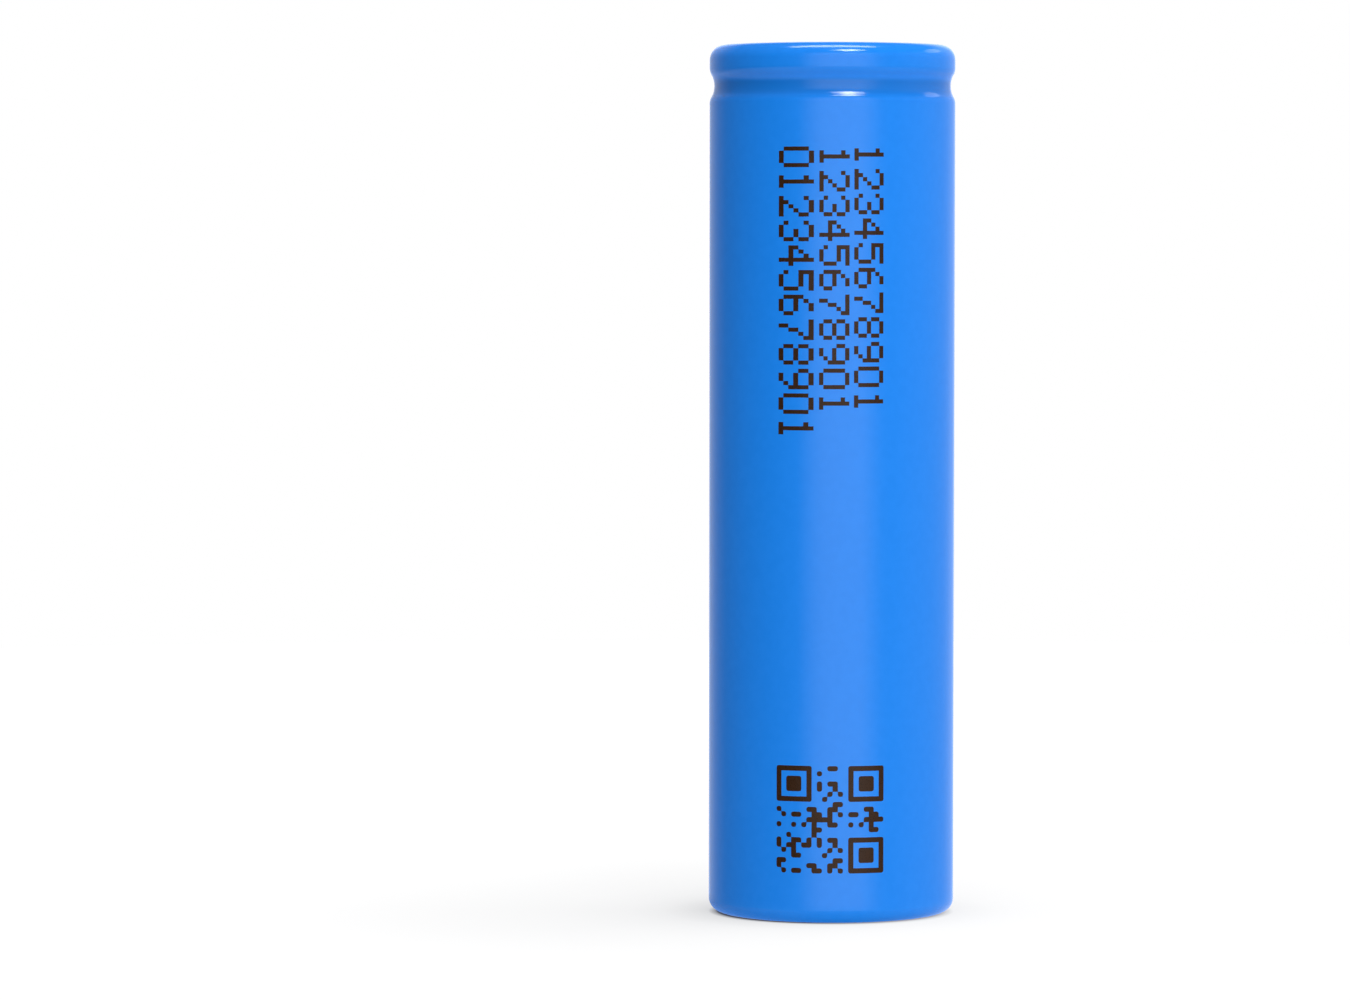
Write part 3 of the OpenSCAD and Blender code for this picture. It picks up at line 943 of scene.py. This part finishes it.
@dataclass(frozen=True)
class DotSquare(DotField):
    """Plain square of dots with a ringed mark in three corners; it spells nothing."""

    mark: int = 7
    modulus: int = 11
    kept: int = 4
    weights: tuple[int, int, int, int] = (3, 5, 7, 3)

    def lit(self, column: int, row: int) -> bool:
        """Whether a corner mark or the filling has a dot here.

        Args:
            column: Dots down the cell.
            row: Dots across the square, from the left.

        Returns:
            True where one has.
        """
        across = row if row < self.mark + 1 else row - (self.rows - self.mark)
        down = column if column < self.mark + 1 else column - (self.columns - self.mark)
        in_corner = (row <= self.mark or row >= self.rows - self.mark - 1) and (
            column <= self.mark or column >= self.columns - self.mark - 1)
        bare_corner = row <= self.mark and column >= self.columns - self.mark - 1
        if in_corner and not bare_corner:
            middle = self.mark // 2
            ring = max(abs(across - middle), abs(down - middle))
            return ring == middle or ring <= middle - 2
        terms = (row * row, column * column, row * column, row)
        mixed = sum(weight * term for weight, term in zip(self.weights, terms))
        return mixed % self.modulus < self.kept


def digit_row(name: str, digits: str, top: float, centre: float, dot_across: float) -> DigitRow:
    """Row of digits at one place on the wall."""
    return DigitRow(name, GLYPH_ADVANCE * len(digits) - 1, GLYPH_ROWS, top, centre,
                    dot_along=DIGIT_STEP, dot_across=dot_across, digits=digits)


@dataclass
class Print:
    """Ink on the film: three rows of digits and a square of dots."""

    radius: float = 9.197
    thickness: float = 0.016
    marks: list[DotField] = field(default_factory=lambda: [
        digit_row("digits_right", "12345678901", 57.42, 2.52, 0.322),
        digit_row("digits_middle", "12345678901", 57.27, -0.07, 0.319),
        digit_row("digits_left", "012345678901", 57.25, -2.94, 0.387),
        DotSquare("dot_square", 21, 21, 11.69, -0.32, dot_along=0.378, dot_across=0.388,
                  dot_bend=0.38),
    ])

    def build(self) -> list[Piece]:
        """Builds and dresses every printed mark.

        Returns:
            The marks.
        """
        ink = INK.build()
        pieces = []
        for mark in self.marks:
            piece = mark.build(self.radius, self.thickness)
            dress(piece, ink)
            hand_over(piece, "film")
            pieces.append(piece)
        return pieces


@dataclass
class FibreWasher:
    """Navy paper washer on the crimped lip, seen between the film's fold and the cap."""

    foot_z: float = 64.62
    thickness: float = 0.2
    bore: float = 5.2
    rim: float = 8.2
    edge: float = 0.03

    def build(self) -> Piece:
        """Builds the washer and dresses it.

        Returns:
            The washer.
        """
        top = self.foot_z + self.thickness
        piece = revolve("washer", [
            Corner(self.bore, self.foot_z), Corner(self.rim, self.foot_z, self.edge),
            Corner(self.rim, top, self.edge), Corner(self.bore, top, self.edge)])
        dress(piece, NODE_FINISHES["top_washer"].build())
        hand_over(piece, "fibre_washer", "top_washer")
        return piece


@dataclass
class WindowedCap:
    """Pressed steel cap: flat raised face, wall with vent windows, and the clamped flange."""

    top: float = 65.0
    flange_z: float = 64.01
    sheet_t: float = 0.3
    face_r: float = 4.5
    foot_r: float = 4.6
    flange_r: float = 8.29
    edge_bend: float = 0.5
    foot_bend: float = 0.2
    windows: int = 3
    window_w: float = 2.8
    window_bend: float = 0.35
    window_bite: float = 0.45
    window_sill: float = 0.22
    overcut: float = 1.0
    soft_edge: float = 0.02
    soft_steps: int = 2

    def window(self, index: int) -> Piece:
        """Builds the tool that cuts one window, with its two inner corners rounded.

        Args:
            index: Which window, counted round from +X.

        Returns:
            The tool.
        """
        inner = self.face_r - self.window_bite
        outer = self.foot_r + self.foot_bend + self.overcut
        foot = self.flange_z + self.window_sill
        height = self.top + self.overcut - foot
        bm = bmesh.new()
        bmesh.ops.create_cube(bm, size=1.0)
        bmesh.ops.scale(bm, vec=((outer - inner) * MM, self.window_w * MM, height * MM),
                        verts=bm.verts[:])
        bmesh.ops.translate(bm, vec=((outer + inner) / 2 * MM, 0, (foot + height / 2) * MM),
                            verts=bm.verts[:])
        corners = [e for e in bm.edges
                   if all(v.co.x < (inner + self.window_bend) * MM for v in e.verts)
                   and e.verts[0].co.y == e.verts[1].co.y]
        bmesh.ops.bevel(bm, geom=corners, offset=self.window_bend * MM, offset_type="OFFSET",
                        segments=ARC_SEGMENTS, profile=0.5, affect="EDGES", material=-1)
        bmesh.ops.rotate(bm, cent=(0, 0, 0), verts=bm.verts[:],
                         matrix=Matrix.Rotation(index * math.tau / self.windows, 3, "Z"))
        return as_piece(bm, f"window_{index}")

    def build(self) -> Piece:
        """Builds the cap, opens its windows, softens their edges and dresses it.

        Returns:
            The cap.
        """
        path = [Corner(0, self.top), Corner(self.face_r, self.top, self.edge_bend),
                Corner(self.foot_r, self.flange_z, self.foot_bend),
                Corner(self.flange_r, self.flange_z)]
        piece = revolve("cap", sheet(path, -self.sheet_t), closed=False)
        cut_away(piece, [self.window(i) for i in range(self.windows)])
        soften = piece.modifiers.new("soft_edges", "BEVEL")
        soften.width = self.soft_edge * MM
        soften.segments = self.soft_steps
        soften.limit_method = "ANGLE"
        soften.angle_limit = CREASE
        soften.harden_normals = True
        dress(piece, NODE_FINISHES["positive_cap"].build())
        hand_over(piece, "cap_steel", "positive_cap")
        return piece


@dataclass
class CarriedNodes:
    """Nodes that keep their CAD shape and only get a finish."""

    replaced: tuple[str, ...] = ("sleeve", "top_washer", "positive_cap")

    def dress(self) -> None:
        """Puts each node's finish in its object's material slots."""
        for name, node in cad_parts.items():
            if name in self.replaced:
                continue
            material = NODE_FINISHES[name].build()
            for slot in node.material_slots:
                slot.link = "OBJECT"
                slot.material = material
            log.info("%s: finish %s", name, material.name)


# ---------------------------------------------------------------- studio


@dataclass(frozen=True)
class SoftBox:
    """Flat studio lamp on a sphere round the cell; azimuth runs from the front to the right."""

    name: str
    azimuth: float
    elevation: float
    distance: float
    width: float
    height: float
    radiance: float
    seen_in_gloss: bool = True
    spreads: bool = False

    def build(self, aim: Vector) -> Piece:
        """Makes the lamp, turned to a point.

        Args:
            aim: The point that it faces, in metres.

        Returns:
            The lamp.
        """
        turn, lift = math.radians(self.azimuth), math.radians(self.elevation)
        out = Vector((math.sin(turn) * math.cos(lift), -math.cos(turn) * math.cos(lift),
                      math.sin(lift)))
        lamp = bpy.data.lights.new(self.name, "AREA")
        lamp.shape = "ELLIPSE"
        lamp.size = self.width
        lamp.size_y = self.height
        area = math.pi * self.width * self.height / 4
        lamp.energy = math.pi * area * self.radiance
        holder = bpy.data.objects.new(self.name, lamp)
        holder.location = aim + out * self.distance
        holder.rotation_euler = (-out).to_track_quat("-Z", "Y").to_euler()
        holder.visible_camera = False
        holder.visible_glossy = self.seen_in_gloss
        holder.visible_diffuse = self.spreads
        bpy.context.scene.collection.objects.link(holder)
        return holder


@dataclass
class Studio:
    """White floor and surround, soft lamps and the camera."""

    aim: tuple[float, float, float] = (0.0, 0.0, 0.035)
    floor_radius: float = 0.3
    floor_sides: int = 128
    floor_drop: float = 0.00004
    floor_white: float = 0.1
    floor_lift: Stops = (
        (0.0082, 0.18), (0.0085, 0.36), (0.0087, 0.58), (0.0089, 0.74), (0.0092, 0.8),
        (0.01, 0.82), (0.0113, 0.845), (0.0126, 0.87), (0.015, 0.89), (0.02, 0.91),
        (0.04, 0.95), (0.14, 1.0))
    least_lift: float = 0.06
    shade_turn: Stops = (
        (-180, 1.2), (-90, 1.65), (-60, 1.6), (-40, 1.45), (-25, 1.25), (0, 1.0), (30, 0.85),
        (60, 0.83), (120, 0.9), (180, 1.2))
    clear_share: Stops = ((0.0078, 1), (0.0083, 0), (0.0092, 0), (0.016, 1))
    shine_turn: Stops = (
        (-180, 0.2), (-90, 0.2), (-60, 0.2), (-25, 0.12), (0, 0.03), (15, 0.05), (35, 0.2),
        (60, 0.42), (80, 0.55), (180, 0.55))
    bounce: float = 0.62
    gain: float = 1.18
    cove_share: Stops = (
        (-1, 0), (-0.34, 0), (-0.2, 1), (0.42, 1), (0.6, 0), (1, 0))
    end_glow: Stops = (
        (-1, 0.44), (0, 0.44), (0.6, 0.1), (0.88, 0.14), (0.97, 0.5), (1, 0.5))
    surround_glow: Stops = (
        (-180, 0.85), (-171, 0.6), (-164, 0.41), (-152, 0.41), (-140, 0.3), (-120, 0.12),
        (-60, 0.03), (-34, 0.08), (-12, 0.9), (0, 1.0), (26, 1.0), (46, 0.27), (56, 0.18),
        (80, 0.3), (130, 0.35), (147, 0.43), (158, 0.42), (165, 0.6), (180, 0.85))
    boxes: tuple[SoftBox, ...] = (
        SoftBox("key_box", 18.5, 52, 1.2, 0.26, 0.28, 21),
        SoftBox("key_halo", 18.5, 52, 1.2, 0.56, 0.28, 8),
        SoftBox("key_fill", 18, 35, 1.8, 1.0, 1.0, 6.3, seen_in_gloss=False, spreads=True),
        SoftBox("side_fill", 105, 15, 1.8, 1.0, 1.0, 2.45, seen_in_gloss=False, spreads=True),
        SoftBox("top_fill", 0, 80, 1.8, 1.0, 1.0, 4.8, seen_in_gloss=False, spreads=True),
        SoftBox("overhead_box", 0, 89, 1.2, 1.0, 0.4, 7.5),
        SoftBox("right_back_box", 124, 30, 1.2, 0.6, 0.27, 1.2),
    )
    camera_at: tuple[float, float, float] = (-0.01175, -0.4460, 0.05058)
    pitch: float = -2.5275
    roll: float = 0.052
    focal_pixels: float = 5949.7
    near: float = 0.01
    far: float = 20.0

    @staticmethod
    def by_ray(tree: Tree, looked_at: Socket | float, met: Socket | float) -> Socket:
        """Level that a ray meets, by what the ray is for.

        Args:
            tree: Node tree that the level is for.
            looked_at: Level for the camera, and through glass.
            met: Level for light that lands on the cell.

        Returns:
            The level.
        """
        path = tree.nodes.new("ShaderNodeLightPath")
        looks = maths(tree, "MAXIMUM", path.outputs["Is Camera Ray"],
                      path.outputs["Is Transmission Ray"])
        seen = maths(tree, "MULTIPLY", looks, looked_at)
        return maths(tree, "MULTIPLY_ADD", maths(tree, "SUBTRACT", 1.0, looks), met, seen)

    def lift(self, tree: Tree) -> Socket:
        """Glow of the floor: white, and shaded beside the cell, most on its left.

        Args:
            tree: Node tree of the floor's material.

        Returns:
            The glow's strength.
        """
        out, turn = from_axis(tree), azimuth(tree, "Object")
        level = stepped(tree, out, self.floor_lift)
        shade_here = maths(tree, "SUBTRACT", 1.0, level)
        depth = maths(tree, "MULTIPLY", shade_here, stepped(tree, turn, self.shade_turn))
        looked_at = maths(tree, "MAXIMUM", maths(tree, "SUBTRACT", 1.0, depth), self.least_lift)
        in_gloss = tree.nodes.new("ShaderNodeLightPath").outputs["Is Glossy Ray"]
        shine = maths(tree, "SUBTRACT", stepped(tree, turn, self.shine_turn), self.bounce)
        met = maths(tree, "MULTIPLY_ADD", in_gloss, shine, self.bounce)
        return self.by_ray(tree, looked_at, met)

    def floor(self) -> Piece:
        """Builds the floor, which reflections see through, save beside the cell.

        Returns:
            The floor.
        """
        bm = bmesh.new()
        bmesh.ops.create_circle(bm, cap_ends=True, segments=self.floor_sides,
                                radius=self.floor_radius)
        bmesh.ops.translate(bm, vec=(0, 0, -self.floor_drop), verts=bm.verts[:])
        for face in bm.faces:
            face.normal_update()
            if face.normal.z < 0:
                face.normal_flip()
        mesh = bpy.data.meshes.new("floor")
        bm.to_mesh(mesh)
        bm.free()
        piece = bpy.data.objects.new("floor", mesh)
        bpy.context.scene.collection.objects.link(piece)
        material = bpy.data.materials.new("white_floor")
        material.use_nodes = True
        tree = material.node_tree
        shader = tree.nodes["Principled BSDF"]
        shader.inputs["Base Color"].default_value = (self.floor_white,) * 3 + (1.0,)
        shader.inputs["Roughness"].default_value = 1.0
        shader.inputs["Specular IOR Level"].default_value = 0.0
        shader.inputs["Emission Color"].default_value = WHITE
        tree.links.new(self.lift(tree), shader.inputs["Emission Strength"])
        clear = tree.nodes.new("ShaderNodeBsdfTransparent")
        side = tree.nodes.new("ShaderNodeNewGeometry")
        path = tree.nodes.new("ShaderNodeLightPath")
        passed = maths(tree, "MULTIPLY", path.outputs["Is Glossy Ray"],
                       stepped(tree, from_axis(tree), self.clear_share))
        through = maths(tree, "MAXIMUM", side.outputs["Backfacing"], passed)
        choice = tree.nodes.new("ShaderNodeMixShader")
        tree.links.new(through, choice.inputs["Fac"])
        tree.links.new(shader.outputs["BSDF"], choice.inputs[1])
        tree.links.new(clear.outputs["BSDF"], choice.inputs[2])
        tree.links.new(choice.outputs["Shader"], tree.nodes["Material Output"].inputs["Surface"])
        dress(piece, material)
        return piece

    def glow(self, tree: Tree) -> Socket:
        """Light of the surround: a white cove behind, a soft box before, dim sides, pale ends.

        Args:
            tree: Node tree of the world.

        Returns:
            The light's strength.
        """
        up = axes(tree, "Generated")["Z"]
        around = stepped(tree, azimuth(tree, "Generated"), self.surround_glow)
        level = blended(tree, stepped(tree, up, self.end_glow), around,
                        stepped(tree, up, self.cove_share), "FLOAT")
        return maths(tree, "MULTIPLY", level, self.gain)

    def surround(self) -> None:
        """Sets the world: white where it is looked at, soft round light for everything else."""
        world = bpy.data.worlds.new("studio")
        bpy.context.scene.world = world
        world.use_nodes = True
        tree = world.node_tree
        out = tree.nodes["Background"]
        out.inputs["Color"].default_value = WHITE
        tree.links.new(self.by_ray(tree, 1.0, self.glow(tree)), out.inputs["Strength"])

    def camera(self) -> Piece:
        """Makes the camera and sets it as the scene's.

        Returns:
            The camera.
        """
        lens = bpy.data.cameras.new("camera")
        lens.sensor_width = SENSOR_WIDTH
        lens.lens = self.focal_pixels * SENSOR_WIDTH / IMAGE_WIDTH
        lens.clip_start = self.near
        lens.clip_end = self.far
        holder = bpy.data.objects.new("camera", lens)
        level = Euler((math.radians(90 + self.pitch), 0, 0)).to_matrix()
        rolled = level @ Matrix.Rotation(math.radians(self.roll), 3, "Z")
        holder.matrix_world = Matrix.Translation(self.camera_at) @ rolled.to_4x4()
        bpy.context.scene.collection.objects.link(holder)
        bpy.context.scene.camera = holder
        return holder

    def build(self) -> None:
        """Builds the whole studio."""
        bpy.context.scene.view_settings.view_transform = "Standard"
        self.floor()
        self.surround()
        for box in self.boxes:
            box.build(Vector(self.aim))
        self.camera()


def main() -> None:
    """Builds the studio and every visible piece of the cell."""
    logging.basicConfig(level=logging.INFO, format="%(name)s: %(message)s")
    Studio().build()
    ShrinkFilm().build()
    Print().build()
    FibreWasher().build()
    WindowedCap().build()
    CarriedNodes().dress()


if __name__ == "__main__":
    main()
